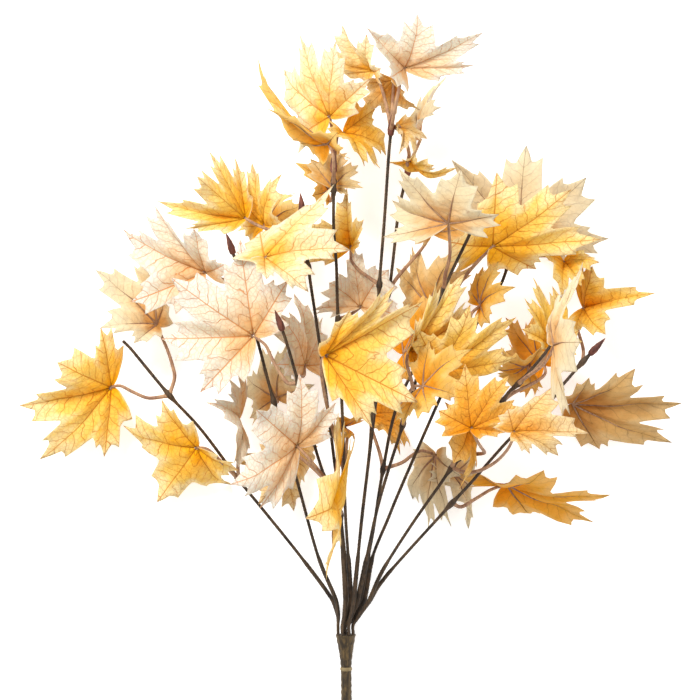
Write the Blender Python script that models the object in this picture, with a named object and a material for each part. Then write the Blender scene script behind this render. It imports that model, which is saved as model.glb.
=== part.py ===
"""Autumn leaf bunch: twelve wire branches on one main stem, with lobed fabric
leaves on thin stalks. The bunch lies on its back: +Z is up, the cut end of the
main stem points to -Y and the tips fan out towards +Y."""
import math

import bmesh
import bpy
import numpy as np
from mathutils import Vector
from mathutils.bvhtree import BVHTree

MM = 0.001

# ---------------------------------------------------------------- dimensions
BLADE_T = 1.2          # blade thickness
GAP = 0.35             # free gap kept between neighbouring solids
LAY_GAP = 1.6          # height kept between two leaves that lie over each other
ARCH = 5.0             # rise of a lobe between its base and its tip
CELL = 3.0             # cell of the height map that the leaves are laid up on
STALK_R = 1.0          # radius of a leaf stalk
STALK_TAIL = 12.0      # length of stalk that runs on under the centre vein
WIRE_R = 1.2           # bare wire of a branch
SLEEVE_R = 1.9         # thicker sleeve near the crown
KNUCKLE_R = 2.5        # moulded knuckle where leaf stalks leave a branch
BUD_R = 2.4            # half the width of a tip bud
BUD_L = 18.0           # length of a tip bud
STEM_R = 4.0           # main stem
CROWN_R = 7.2          # swollen crown that carries the branches
CENTRE = (0.07, 0.38, -0.41)  # shift that centres the box in plan and sets it down
FINE = 12              # steps per stalk segment when its way is checked
PASSES = 4             # times that leaves and branches are laid on each other
CROWN_TOP = (-4.0, -188.0, 16.0)
STEM_FOOT = (-3.0, -277.0, 4.3)
# where each branch leaves the crown's top face: offsets in x and z
RING_OUT = 6.2
RING_IN = 2.6
OUTER = (11, 6, 3, 2, 1, 4, 7, 12)
INNER = (10, 9, 5, 8)

# one leaf: five veins, their angle from the centre vein and relative length
VEINS = ((-83, 0.68), (-42, 0.97), (0, 1.0), (42, 0.97), (83, 0.68))
# half outline of a blade: angle from the centre vein, radius over leaf size
HALF = ((0, 1.0), (12.5, 0.82), (21, 0.57), (30, 0.8), (42, 0.97), (54, 0.8),
        (63, 0.47), (83, 0.68), (103, 0.36), (138, 0.12))

# ------------------------------------------------------------------ branches
# route of each branch from the crown out: x, y and height above the table
BRANCHES = {
    1: ((-13.5, -163, 12), (-38, -129, 19), (-70, -89, 26), (-83, -73, 28),
        (-113, -33, 33), (-137, -7, 36), (-166, 28, 38), (-172, 34, 38)),
    2: ((-11, -163, 19.5), (-25, -128, 30), (-41, -70, 50), (-58, -12, 62),
        (-71, 37, 68), (-88, 98, 72), (-94, 115, 72)),
    3: ((-4.5, -163, 25), (-7.5, -115, 40), (-13.5, -89, 52), (-27, -46, 70),
        (-40, 4, 92), (-50, 38, 108), (-57, 57, 114)),
    4: ((-3.5, -163, 9), (-4.5, -130, 22), (-11, -70, 44), (-23, 27, 68),
        (-32, 89, 74), (-38, 145, 78)),
    5: ((-0.5, -163, 18.5), (-4, -100, 44), (-5, -67, 56), (-6, -33, 62),
        (-10, 57, 74), (-11, 91, 78), (-13, 118, 82), (-13, 149, 86),
        (-13, 177, 88)),
    6: ((2, -163, 26.5), (4.5, -138, 30), (8, -100, 44), (14, -48, 62),
        (16.5, -3, 74), (21, 72, 82), (25, 124, 88), (28, 169, 90),
        (30, 192, 90), (31, 205, 90)),
    7: ((1.5, -163, 6.5), (10, -85, 28), (19, -10, 34), (31, 89, 40),
        (36, 132, 46), (43, 163, 54), (43, 175, 56)),
    8: ((8, -163, 12), (13, -130, 17), (17, -108, 26), (24, -64, 42), (35, -14, 50),
        (59, 34, 50), (80, 74, 50)),
    9: ((4.5, -163, 21.5), (18, -100, 45), (27, -67, 56), (39, -29, 68),
        (48, 2, 76), (58, 36, 78), (70, 73, 82), (92, 120, 86)),
    10: ((9.5, -163, 16.5), (16, -130, 26), (28, -100, 36), (37, -78, 42),
         (64, -16, 52), (87, 34, 52), (114, 79, 50), (118, 96, 50)),
    11: ((13, -163, 22.5), (24, -139, 30), (46, -104, 48), (67, -74, 60),
         (76, -61, 64), (96, -37, 70), (119, -4, 76), (126, 2, 77),
         (148, 28, 80), (158, 47, 82)),
    12: ((14, -163, 11), (27, -143, 24), (76, -88, 60), (89, -74, 64),
         (119, -40, 66), (151, -8, 68), (174, 18, 72), (191, 36, 76)),
}
BUDS = (2, 3, 4, 5, 6, 7, 12)
# where leaf stalks leave each branch, as y along its route
KNUCKLES = {1: (-7, -70.5), 2: (-12, 76), 3: (2, -70.5), 4: (104, 89, -97),
            5: (-67, 49.5, 147, 153), 6: (192, 76), 7: (163, 72), 8: (-63, 74),
            9: (-29, -3, 73), 10: (42, 92), 11: (-61.5, -53, 2, -12),
            12: (-88.5, -8, 18)}

# -------------------------------------------------------------------- leaves
# Listed in the order they are laid down, the lowest first. Each row holds the
# name, branch, knuckle, base x and y, least height, size, flatness, and the
# plan offset of each vein tip with +1 or -1 for a tip that rises or droops.
# `over` lists the branches that the leaf lies on top of.
LEAVES = (
    ("leaf_b09_c", 9, 2, (60, 61), 20, 60, 0.6, (),
     ((35, 30, 1), (18, 43, 1), (-14, 46, -1), (-22, 30, -1), (-20, -5, -1))),
    ("leaf_b10_c", 10, 1, (127, 112), 16, 85, 0.5, (),
     ((65, 1, 1), (53, 48, 1), (4, 68, 1), (-50, 60, 1), (-50, 15, -1))),
    ("leaf_b03_b", 3, 1, (-51, -52), 22, 58, 0.6, (1,),
     ((25, 15, -1), (22, -15, -1), (4, -44, -1), (-20, -38, 1), (-35, -6, 1))),
    ("leaf_b03_d", 3, 0, (-35, 15), 26, 65, 0.6, (),
     ((-25, 0, 1), (-22, 42, 1), (-5, 56, -1), (10, 36, -1), (20, 0, -1))),
    ("leaf_b12_b", 12, 1, (167, -13), 24, 88, 0.5, (),
     ((21, -32, -1), (74, -30, -1), (88, 3, 1), (47, 23, 1), (12, 22, 1))),
    ("leaf_b08_b", 8, 0, (16, -22), 24, 53, 0.5, (),
     ((0, 20, -1), (21, -2, -1), (30, -23, -1), (20, -32, 1), (-4, -13, 1))),
    ("leaf_b08_a", 8, 0, (64.5, -52.5), 20, 65, 0.5, (),
     ((-15, -2, -1), (-21, -33, -1), (-2, -58, -1), (12, -53, 1), (20, -15, 1))),
    ("leaf_b05_e", 5, 1, (7, 59), 36, 57, 0.6, (7,),
     ((-35, -4, -1), (-24, 18, -1), (-6, 46, -1), (22, 32, -1), (35, -10, -1))),
    ("leaf_b06_d", 6, 1, (0, 105), 40, 53, 0.6, (),
     ((8, 6, 1), (10, 21, 1), (-4, 44, 1), (-33, 18, 1), (-35, -5, -1))),
    ("leaf_b05_c", 5, 2, (-18, 147), 40, 51, 0.6, (),
     ((7, 19, -1), (3, 36, -1), (-8, 41, 1), (-22, 22, 1), (-16, -4, 1))),
    ("leaf_b05_d", 5, 2, (-13, 148.5), 50, 44, 0.5, (),
     ((12, -6, 1), (24, -1, 1), (22, 16, 1), (8, 28, -1), (-15, 20, -1))),
    ("leaf_b07_c", 7, 0, (45, 169.5), 40, 47, 0.6, (7,),
     ((4, 8, 1), (20, 2, 1), (33, -11, 1), (19, -9, -1), (-10, 2, -1))),
    ("leaf_b07_a", 7, 0, (52.5, 186), 36, 55, 0.5, (),
     ((3, 10, 1), (14, 25, 1), (20, 50, 1), (3, 30, -1), (-7, 10, -1))),
    ("leaf_b06_c", 6, 0, (32, 230), 60, 44, 0.6, (),
     ((10, -7, 1), (20, -22, -1), (-2, -26, -1), (-24, -22, -1), (-21, 2, -1))),
    ("leaf_b06_b", 6, 0, (17, 237), 70, 54, 0.5, (),
     ((-20, 2, -1), (-40, 18, -1), (-24, 36, 1), (-6, 26, 1), (8, 4, 1))),
    ("leaf_b05_h", 5, 3, (-6, 190), 60, 54, 0.5, (),
     ((22, 16, -1), (34, -14, -1), (26, -31, 1), (16, -26, 1), (-10, -5, 1))),
    ("leaf_b12_a", 12, 0, (118, -74), 30, 85, 0.35, (),
     ((-25, 11, 1), (28, 9, 1), (79, -8, 1), (67, -22, -1), (18, -20, -1))),
    ("leaf_b01_d", 1, 1, (-85, -26), 14, 61, 0.5, (1,),
     ((0, -38, 1), (-4, -32, 1), (-19, 15, 1), (-12, 25, 1), (-5, 40, 1))),
    ("leaf_b12_c", 12, 2, (175.5, 58.5), 24, 64, 0.5, (),
     ((0, 40, 1), (10, 32, 1), (52, 12, 1), (15, -20, 1), (-4, -20, 1))),
    ("leaf_b10_d", 10, 1, (160.5, 93), 34, 44, 0.5, (),
     ((19, 4, -1), (26, -3, 1), (14, -22, 1), (-2, -26, 1), (-18, 4, 1))),
    ("leaf_b01_c", 1, 1, (-116, -46.5), 20, 73, 0.62, (1,),
     ((32, -14, 1), (24, -33, -1), (-27, -35, -1), (-58, 17, -1), (-25, 36, 1))),
    ("leaf_b01_a", 1, 0, (-181, -1), 24, 82, 0.5, (1,),
     ((-7, -49, -1), (-52, -57, -1), (-74, -14, 1), (-40, 19, 1), (-9, 46, 1))),
    ("leaf_b01_b", 1, 0, (-147, 46), 30, 67, 0.5, (1,),
     ((5, 22, -1), (-11, 56, -1), (-48, 40, 1), (-43, -2, 1), (-18, -15, 1))),
    ("leaf_b08_c", 8, 1, (106.5, 105), 44, 88, 0.3, (8, 10),
     ((-32, 4, -1), (3, 57, 1), (62, 45, 1), (80, 7, -1), (33, -16, -1))),
    ("leaf_b10_b", 10, 0, (98, 61), 56, 48, 0.5, (8, 10),
     ((10, -15, 1), (24, 14, 1), (16, 32, 1), (2, 30, -1), (-5, 14, -1))),
    ("leaf_b09_b", 9, 0, (40, 24), 50, 61, 0.35, (8,),
     ((4, -20, 1), (25, 8, 1), (38, 22, 1), (30, 45, -1), (0, 30, -1))),
    ("leaf_b09_d", 9, 1, (43, 27), 70, 74, 0.3, (8, 9, 10),
     ((4, 24, 1), (20, 52, 1), (39, 62, -1), (52, 32, -1), (25, -5, -1))),
    ("leaf_b10_a", 10, 0, (65, 12), 70, 76, 0.3, (8, 9, 10, 11),
     ((-15, 30, 1), (26, 49, 1), (58, 44, 1), (58, 10, -1), (18, -12, -1))),
    ("leaf_b09_a", 9, 0, (54, 0), 80, 57, 0.3, (7, 8, 9, 10),
     ((-15, -30, 1), (7, -22, 1), (30, -9, 1), (35, 30, 1), (6, 31, -1))),
    ("leaf_b11_d", 11, 0, (87, -33), 60, 54, 0.35, (10, 11, 12),
     ((2, -13, -1), (4, -30, -1), (0, -43, 1), (-13, -26, 1), (-22, 14, 1))),
    ("leaf_b11_b", 11, 1, (90, -31.5), 70, 59, 0.25, (10, 11, 12),
     ((-24, 13, -1), (-3, 47, -1), (29, 42, 1), (39, 16, 1), (26, -3, 1))),
    ("leaf_b11_f", 11, 2, (148, 31), 60, 60, 0.45, (),
     ((-21, 11, 1), (-20, 36, 1), (-14, 50, 1), (5, 45, -1), (20, 10, -1))),
    ("leaf_b11_a", 11, 0, (121, -34), 70, 63, 0.25, (11, 12),
     ((-4, 15, -1), (30, 34, -1), (60, -2, -1), (33, -16, 1), (12, -18, 1))),
    ("leaf_b11_e", 11, 2, (151.5, 31), 80, 74, 0.3, (11, 12),
     ((2, 20, -1), (5, 39, -1), (25, 61, 1), (19, 2, 1), (14, -51, 1))),
    ("leaf_b05_f", 5, 3, (-16, 202), 74, 74, 0.5, (5,),
     ((-25, -16, -1), (-37, 35, -1), (-20, 67, -1), (6, 56, 1), (32, 29, 1))),
    ("leaf_b05_g", 5, 3, (-17, 182), 84, 81, 0.4, (5,),
     ((-17, 4, -1), (-46, 34, -1), (-58, 58, 1), (-40, 35, 1), (8, 9, 1))),
    ("leaf_b06_a", 6, 0, (40, 238.5), 94, 70, 0.5, (),
     ((-12, -4, 1), (-30, 32, 1), (12, 38, 1), (57, 27, 1), (51, 4, -1))),
    ("leaf_b07_b", 7, 0, (33, 194), 60, 41, 0.5, (7,),
     ((13, 2, -1), (20, -12, -1), (16, -24, 1), (5, -20, 1), (-1, -8, 1))),
    ("leaf_b04_b", 4, 0, (-65, 121), 60, 60, 0.5, (4,),
     ((-14, 0, -1), (-21, 34, -1), (-4, 50, 1), (10, 37, 1), (20, 0, 1))),
    ("leaf_b04_a", 4, 0, (-79.5, 126), 70, 68, 0.8, (4,),
     ((-47, -6, -1), (-63, 10, 1), (-39, 34, 1), (-28, 52, 1), (-8, 44, -1))),
    ("leaf_b02_a", 2, 1, (-109, 85.5), 50, 77, 0.45, (2,),
     ((-52, -19, -1), (-65, 33, -1), (-40, 50, 1), (-8, 34, 1), (16, 8, 1))),
    ("leaf_b09_e", 9, 2, (73, 122), 80, 67, 0.5, (6, 7, 9),
     ((39, 8, 1), (9, 39, 1), (-38, 43, 1), (-44, 16, -1), (-45, -8, 0))),
    ("leaf_b03_c", 3, 0, (-73, 37.5), 70, 82, 0.45, (2,),
     ((-38, -40, -1), (-72, -2, -1), (-63, 44, 1), (-10, 74, 1), (26, 42, 1))),
    ("leaf_b04_c", 4, 1, (-64.5, 96), 80, 78, 0.4, (2, 3, 4, 5),
     ((-2, 17, -1), (53, 51, -1), (66, 9, 1), (33, -26, 1), (3, -18, 1))),
    ("leaf_b04_d", 4, 2, (-14, -83), 70, 83, 0.4, (1, 2, 3, 4, 5, 6),
     ((7, 34, -1), (-2, -36, -1), (-8, -62, 1), (-12, -17, 1), (-4, 56, 1))),
    ("leaf_b03_a", 3, 1, (-40.5, -45), 76, 77, 0.5, (1, 2, 3, 4, 5),
     ((-28, -46, 1), (-48, -29, 1), (-37, 33, 1), (4, 52, 1), (27, 33, 1))),
    ("leaf_b05_a", 5, 0, (-19.5, 23), 100, 91, 0.3, (3, 4, 5, 6, 7, 8, 9),
     ((17, 34, 1), (56, 52, 1), (72, 41, -1), (70, -35, -1), (34, -52, -1))),
)

# stalks whose way from the leaf base to the knuckle is seen: plan points
STALK_BY_WAY = {
    "leaf_b01_a": ((-174, 0), (-154, -9)),
    "leaf_b01_b": ((-138, 26), (-133, 6)),
    "leaf_b08_a": ((52, -49), (38, -58)),
    "leaf_b12_a": ((106, -78), (93, -85.5), (83, -91)),
    "leaf_b09_e": ((74, 98), (70.5, 83)),
    "leaf_b08_c": ((93, 91), (84, 80)),
    "leaf_b03_c": ((-64.5, 31), (-57, 16), (-47, 2)),
}

# ------------------------------------------------------------------- helpers
def smooth_route(points, step):
    """Points every `step` or so along a Catmull-Rom curve through `points`."""
    pts = [np.array(p, float) for p in points]
    ends = [2 * pts[0] - pts[1]] + pts + [2 * pts[-1] - pts[-2]]
    out = []
    for a, b, c, d in zip(ends, ends[1:], ends[2:], ends[3:]):
        count = max(1, round(float(np.linalg.norm(c - b)) / step))
        for k in range(count):
            t = k / count
            out.append(0.5 * (2 * b + (c - a) * t + (2 * a - 5 * b + 4 * c - d) * t * t
                              + (3 * b - a - 3 * c + d) * t ** 3))
    out.append(pts[-1])
    return out


def vein_tips(row):
    """Each vein's tip, from its plan offset; what length is left goes up or down."""
    size, flat, tips = row[5], row[6], row[8]
    out = []
    for (angle, share), (dx, dy, side) in zip(VEINS, tips):
        rest = max(0.0, (0.95 * share * size) ** 2 - dx * dx - dy * dy)
        out.append(np.array((dx, dy, side * flat * math.sqrt(rest))))
    return out


def reach(tips, angle):
    """Full length and direction of the blade at an angle from the centre vein."""
    k = max(0, min(3, sum(angle > v[0] for v in VEINS) - 1))
    (a0, s0), (a1, s1) = VEINS[k], VEINS[k + 1]
    w0 = math.sin(math.radians(a1 - angle))
    w1 = math.sin(math.radians(angle - a0))
    return (w0 * tips[k] / s0 + w1 * tips[k + 1] / s1) / math.sin(math.radians(a1 - a0))


def facing(tips):
    """Unit normal of the blade's upper face, from the fan of its veins."""
    total = np.zeros(3)
    for a, b in zip(tips, tips[1:]):
        total += np.cross(b, a)
    return total / np.linalg.norm(total)


def outline(row):
    """The blade's edge, as offsets from the leaf base, once round from the back."""
    tips = vein_tips(row)
    up = facing(tips)
    side = 1 if up[2] > 0 else -1
    turn = [(-a, r) for a, r in HALF[:0:-1]] + list(HALF)
    out = []
    for angle, r in turn:
        lift = up * side * ARCH * 4 * r * (1 - r)
        out.append(reach(tips, angle) * r + lift)
    fan = sum(np.cross(a, b) @ up for a, b in zip(out, out[1:]))
    if fan * (np.cross(out[-1], out[0]) @ up) < 0:
        out = out[1:-1]
    return out


def height_map(base, corners):
    """Lowest and highest point, over each plan cell, of the fan from base to edge."""
    cells = {}
    for a, b in zip(corners, corners[1:] + corners[:1]):
        longest = max(np.linalg.norm(a), np.linalg.norm(b), np.linalg.norm(a - b))
        n = 2 + int(longest / 1.4)
        for i in range(n + 1):
            for j in range(n + 1 - i):
                p = base + (a * i + b * j) / n
                key = (math.floor(p[0] / CELL), math.floor(p[1] / CELL))
                low, high = cells.get(key, (1e9, -1e9))
                cells[key] = (min(low, p[2]), max(high, p[2]))
    return cells


def branch_route(number):
    """The centre line of a branch from the crown's face to its tip."""
    axis = np.array(CROWN_TOP) - np.array(STEM_FOOT)
    axis /= np.linalg.norm(axis)
    upward = np.cross(np.array((1.0, 0, 0)), axis)
    x, z = crown_slot(number)
    start = np.array(CROWN_TOP) + axis * 2 * GAP + np.array((x, 0, 0)) + upward * z
    lead = start + axis * 7.0
    return smooth_route([start, lead] + list(BRANCHES[number]), 9.0)


def crown_slot(number):
    """Offset of a branch on the crown's face: eight outer places, four inner."""
    if number in OUTER:
        turn, radius = 22.5 + 45 * OUTER.index(number), RING_OUT
    else:
        turn, radius = 90 * INNER.index(number), RING_IN
    return (radius * math.cos(math.radians(turn)), radius * math.sin(math.radians(turn)))


def branch_line(number, lifts):
    """Fine centre line of a branch, raised where it passes over leaves."""
    fine = smooth_route(branch_route(number), 1.5)
    if number in lifts:
        fine = [p + np.array((0, 0, up)) for p, up in zip(fine, lifts[number])]
    return fine


def wire_cells(p):
    """The plan cells that a wire covers at one point of its line."""
    keys = set()
    for dx in (-2.4, 0, 2.4):
        for dy in (-2.4, 0, 2.4):
            keys.add((math.floor((p[0] + dx) / CELL), math.floor((p[1] + dy) / CELL)))
    return keys


def branch_map(number, lifts):
    """Height map of a branch, a little wider than the wire."""
    cells = {}
    for p in branch_line(number, lifts):
        for key in wire_cells(p):
            low, high = cells.get(key, (1e9, -1e9))
            cells[key] = (min(low, p[2] - KNUCKLE_R), max(high, p[2] + KNUCKLE_R))
    return cells


def lift_over(number, below):
    """How far each point of a branch is raised so that it clears leaves under it.
    A raised point draws its neighbours up in a long easy arc."""
    fine = branch_line(number, {})
    need = []
    for p in fine:
        up = 0.0
        for cells in below:
            for key in wire_cells(p):
                if key in cells:
                    up = max(up, cells[key][1] + KNUCKLE_R + 1.0 - p[2])
        need.append(up)
    out = []
    for i in range(len(fine)):
        up = 0.0
        for j in range(max(0, i - 34), min(len(fine), i + 35)):
            if need[j] > 0:
                up = max(up, need[j] * math.cos(math.pi / 2 * (i - j) / 35) ** 2)
        out.append(up * min(1.0, i / 20))
    return out


def lay_up():
    """Heights of the leaf bases and lifts of the branches. Leaves are laid one on
    another in order, and on the branches they cover; then each branch is raised over
    the leaves under it, and the leaves are laid again."""
    maps = {}
    for row in LEAVES:
        base = np.array((row[3][0], row[3][1], 0.0))
        maps[row[0]] = height_map(base, outline(row))
    lifts, heights = {}, {}
    for turn in range(PASSES):
        wires = {n: branch_map(n, lifts) for n in BRANCHES}
        laid = []
        for row in LEAVES:
            cells = maps[row[0]]
            z = max(row[4], 0.3 + BLADE_T - min(low for low, high in cells.values()))
            for other in laid + [wires[n] for n in row[7]]:
                for key, (low, high) in cells.items():
                    if key in other:
                        z = max(z, other[key][1] - low + BLADE_T + LAY_GAP)
            heights[row[0]] = z
            laid.append({k: (low + z, high + z) for k, (low, high) in cells.items()})
        if turn < PASSES - 1:
            for n in BRANCHES:
                under = [laid[k] for k, row in enumerate(LEAVES) if n not in row[7]]
                lifts[n] = lift_over(n, under)
    return heights, lifts


def new_mesh(name, verts, faces):
    mesh = bpy.data.meshes.new(name)
    shift = np.array(CENTRE)
    mesh.from_pydata([tuple((np.array(v) + shift) * MM) for v in verts], [], faces)
    mesh.validate()
    return mesh


def blade(row, z):
    """A lobed sheet of even thickness: two fans from the leaf base and a rim."""
    tips = vein_tips(row)
    up = facing(tips)
    if up[2] < 0:
        up = -up
    base = np.array((row[3][0], row[3][1], z))
    edge = [base] + [base + p for p in outline(row)]
    count = len(edge)
    verts = [p + up * BLADE_T / 2 for p in edge] + [p - up * BLADE_T / 2 for p in edge]
    turn = sum(float(np.cross(a - base, b - base) @ up) for a, b in zip(edge[1:], edge[2:]))
    faces = []
    for k in range(1, count):
        n = k + 1 if k + 1 < count else 1
        faces.append((0, k, n))
        faces.append((count, count + n, count + k))
        faces.append((k, count + k, count + n, n))
    if turn < 0:
        faces = [f[::-1] for f in faces]
    return verts, faces


def tube(points, radii, sides):
    """A closed tube round a line of points, with flat ends."""
    pts = [Vector(p) for p in points]
    verts, faces = [], []
    heading = (pts[1] - pts[0]).normalized()
    across = heading.orthogonal().normalized()
    for k, p in enumerate(pts):
        ahead = pts[min(k + 1, len(pts) - 1)] - pts[max(k - 1, 0)]
        turn = heading.rotation_difference(ahead.normalized())
        across = (turn @ across).normalized()
        heading = ahead.normalized()
        other = heading.cross(across)
        for j in range(sides):
            a = 2 * math.pi * (j + 0.5) / sides
            verts.append(np.array(p + (across * math.cos(a) + other * math.sin(a)) * radii[k]))
    for k in range(len(pts) - 1):
        for j in range(sides):
            a, b = k * sides + j, k * sides + (j + 1) % sides
            faces.append((a, b, b + sides, a + sides))
    faces.append(tuple(range(sides))[::-1])
    faces.append(tuple(range((len(pts) - 1) * sides, len(pts) * sides)))
    return verts, faces


def branch_radius(route):
    """Sleeve, bare wire, knuckles and bud along a branch, as one radius per point."""
    number, pts = route
    far = [0.0]
    for a, b in zip(pts, pts[1:]):
        far.append(far[-1] + float(np.linalg.norm(b - a)))
    out = []
    for p, s in zip(pts, far):
        r = SLEEVE_R if 20 < s < 62 else WIRE_R
        if any(abs(p[1] - y) < 3.2 for y in KNUCKLES[number]) and s > 20:
            r = KNUCKLE_R
        left = far[-1] - s
        if number in BUDS and left < BUD_L:
            r = BUD_R * math.sin(math.pi * min(1.0, 0.12 + 0.85 * left / BUD_L)) ** 0.8
        out.append(r)
    return out


def branch_points(number, lifts):
    """Points of a branch with extra ones at each knuckle and along the bud."""
    fine = branch_line(number, lifts)
    last = len(fine) - 1
    keep = set(range(0, last + 1, 13)) | {0, 4, last}
    for y in KNUCKLES[number]:
        k = min(range(30, last + 1), key=lambda i: abs(fine[i][1] - y))
        keep |= {max(0, k - 3), max(0, k - 1), min(last, k + 1), min(last, k + 3)}
    if number in BUDS:
        keep |= {last - 2, last - 6, last - 9, last - 12}
    keep = sorted(keep)
    thin = [keep[0]]
    for k in keep[1:]:
        if k - thin[-1] >= 2 or k == last:
            thin.append(k)
    return [fine[k] for k in thin]


def knuckle_point(number, which, lifts):
    """Centre of a knuckle and the direction the branch runs there."""
    fine = branch_line(number, lifts)
    y = KNUCKLES[number][which]
    k = min(range(30, len(fine) - 1), key=lambda i: abs(fine[i][1] - y))
    return fine[k], (fine[k + 1] - fine[k - 1]) / np.linalg.norm(fine[k + 1] - fine[k - 1])


def stalk_choices(row, z, lifts):
    """Ways for a stalk to run from the leaf base to its knuckle, straightest first."""
    base = np.array((row[3][0], row[3][1], z))
    vein = vein_tips(row)[2]
    back = -vein / np.linalg.norm(vein)
    knot, along = knuckle_point(row[1], row[2], lifts)
    if row[0] in STALK_BY_WAY:
        way = STALK_BY_WAY[row[0]]
        stops = len(way) + 1
        mid = [np.array((x, y, z + (knot[2] - z) * (k + 1) / stops))
               for k, (x, y) in enumerate(way)]
        for rise in (0, 6, -6, 12, -12):
            bent = [m + np.array((0, 0, rise)) for m in mid]
            yield smooth_route([base] + bent + [knot], 10.0)
        return
    span = float(np.linalg.norm(knot - base))
    leave = (base - knot) / max(span, 1e-6) + along * 0.6
    leave /= np.linalg.norm(leave)
    flat_side = np.array((-(knot - base)[1], (knot - base)[0], 0.0))
    flat_side /= max(np.linalg.norm(flat_side), 1e-6)
    count = max(2, round(span / 12.0))
    for bow in (0, 5, -5, 10, -10, 16, -16):
        for rise in (0, 5, -5, 10, -10, 18, -18):
            for pull in (0.8, 0.3):
                pts = []
                for k in range(count + 1):
                    t = k / count
                    h0 = 2 * t ** 3 - 3 * t * t + 1
                    h1 = t ** 3 - 2 * t * t + t
                    h3 = t ** 3 - t * t
                    p = h0 * base + (1 - h0) * knot + span * pull * (h1 * back - h3 * leave)
                    swell = 4 * t * (1 - t)
                    pts.append(p + swell * (bow * flat_side + np.array((0, 0, rise))))
                yield pts


def clear_length(points, others, radius):
    """How many points from the leaf base are clear of the other solids."""
    fine = [points[0]]
    for a, b in zip(points, points[1:]):
        for t in range(1, FINE + 1):
            fine.append(a + (b - a) * t / FINE)
    for k, p in enumerate(fine):
        for low, high, tree in others:
            if np.any(p < low) or np.any(p > high):
                continue
            if tree.find_nearest(Vector(p), radius + GAP)[0] is not None:
                return (k - 1) / FINE
    return (len(fine) - 1) / FINE


def tree_of(verts, faces):
    pts = np.array(verts)
    tree = BVHTree.FromPolygons([Vector(v) for v in verts], faces)
    return pts.min(axis=0) - 3, pts.max(axis=0) + 3, tree


def is_one_body(mesh):
    """True for a mesh whose faces all hang together and close round a volume."""
    bm = bmesh.new()
    bm.from_mesh(mesh)
    start = next(iter(bm.faces), None)
    seen = {start}
    queue = [start] if start else []
    while queue:
        for edge in queue.pop().edges:
            for face in edge.link_faces:
                if face not in seen:
                    seen.add(face)
                    queue.append(face)
    good = start is not None and len(seen) == len(bm.faces)
    good = good and all(e.is_manifold for e in bm.edges) and bm.calc_volume(signed=True) > 0
    bm.free()
    return good


def unite(first, second, solver):
    """One closed body from two overlapping ones; leaves the first alone if it fails."""
    tool = first.modifiers.new("join", "BOOLEAN")
    tool.operation = "UNION"
    tool.solver = solver
    if solver == "EXACT":
        tool.use_self = True
    tool.object = second
    bpy.context.view_layer.update()
    graph = bpy.context.evaluated_depsgraph_get()
    mesh = bpy.data.meshes.new_from_object(first.evaluated_get(graph))
    mesh.name = first.name
    first.modifiers.clear()
    bpy.data.objects.remove(second)
    if not is_one_body(mesh):
        return False
    first.data = mesh
    return True


def material(name, colour, roughness):
    mat = bpy.data.materials.get(name) or bpy.data.materials.new(name)
    mat.use_nodes = True
    shader = mat.node_tree.nodes["Principled BSDF"]
    shader.inputs["Base Color"].default_value = (*colour, 1.0)
    shader.inputs["Roughness"].default_value = roughness
    shader.inputs["Metallic"].default_value = 0.0
    return mat


def place(name, verts, faces, mat):
    obj = bpy.data.objects.new(name, new_mesh(name, verts, faces))
    bpy.context.scene.collection.objects.link(obj)
    obj.data.materials.append(mat)
    return obj


def main():
    for obj in list(bpy.data.objects):
        bpy.data.objects.remove(obj)
    cloth = material("leaf_fabric", (0.85, 0.62, 0.30), 0.8)
    bark = material("branch_bark", (0.08, 0.05, 0.03), 0.75)

    # main stem: cut foot, bark ring, then the crown that carries the branches
    foot, top = np.array(STEM_FOOT), np.array(CROWN_TOP)
    run = top - foot
    stations = ((0, STEM_R), (0.2, STEM_R), (0.68, STEM_R), (0.70, STEM_R + 0.6),
                (0.73, STEM_R), (0.86, STEM_R + 0.8), (0.95, CROWN_R + 0.6),
                (1.0, CROWN_R + 0.6))
    verts, faces = tube([foot + run * t for t, r in stations], [r for t, r in stations], 16)
    place("main_stem", verts, faces, bark)

    heights, lifts = lay_up()
    solids = {}
    for number in BRANCHES:
        pts = branch_points(number, lifts)
        verts, faces = tube(pts, branch_radius((number, pts)), 6)
        solids[f"branch_{number:02d}"] = (verts, faces)

    for row in LEAVES:
        solids[row[0]] = blade(row, heights[row[0]])
    trees = {name: tree_of(*shape) for name, shape in solids.items()}

    for number in BRANCHES:
        place(f"branch_{number:02d}", *solids[f"branch_{number:02d}"], bark)
    for row in LEAVES:
        others = [t for name, t in trees.items() if name != row[0]]
        best, reached = None, -1.0
        for pts in stalk_choices(row, heights[row[0]], lifts):
            got = clear_length(pts, others, STALK_R)
            share = got / (len(pts) - 1)
            if share > reached + 0.02:
                best, reached = (pts, got), share
        pts, got = best
        cut = [p for k, p in enumerate(pts) if k <= got]
        part = got - int(got)
        if part > 0.1 and int(got) + 1 < len(pts):
            cut.append(pts[int(got)] + (pts[int(got) + 1] - pts[int(got)]) * part)
        vein = vein_tips(row)[2]
        obj = place(row[0], *solids[row[0]], cloth)
        tries = [(STALK_TAIL, "EXACT"), (9.0, "EXACT"), (STALK_TAIL, "MANIFOLD"),
                 (15.0, "MANIFOLD"), (7.0, "MANIFOLD")]
        for tail_length, solver in tries:
            if len(cut) < 2:
                break
            tail = pts[0] + vein / np.linalg.norm(vein) * tail_length
            line = [tail, (tail + pts[0]) / 2] + cut
            radii = [STALK_R * 0.6, STALK_R * 0.85] + [STALK_R] * len(cut)
            verts, faces = tube(line, radii, 4)
            if unite(obj, place(row[0] + "_stalk", verts, faces, cloth), solver):
                trees[row[0] + "_stalk"] = tree_of(verts, faces)
                break


main()
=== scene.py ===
"""Autumn leaf bunch: printed cloth maple leaves on thin moulded stalks, wire
branches with knuckles and buds, and one short main stem. It lies on a pale table
and the camera looks straight down on it."""
import math

import bmesh
import bpy
import numpy as np
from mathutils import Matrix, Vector
from mathutils.bvhtree import BVHTree


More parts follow.
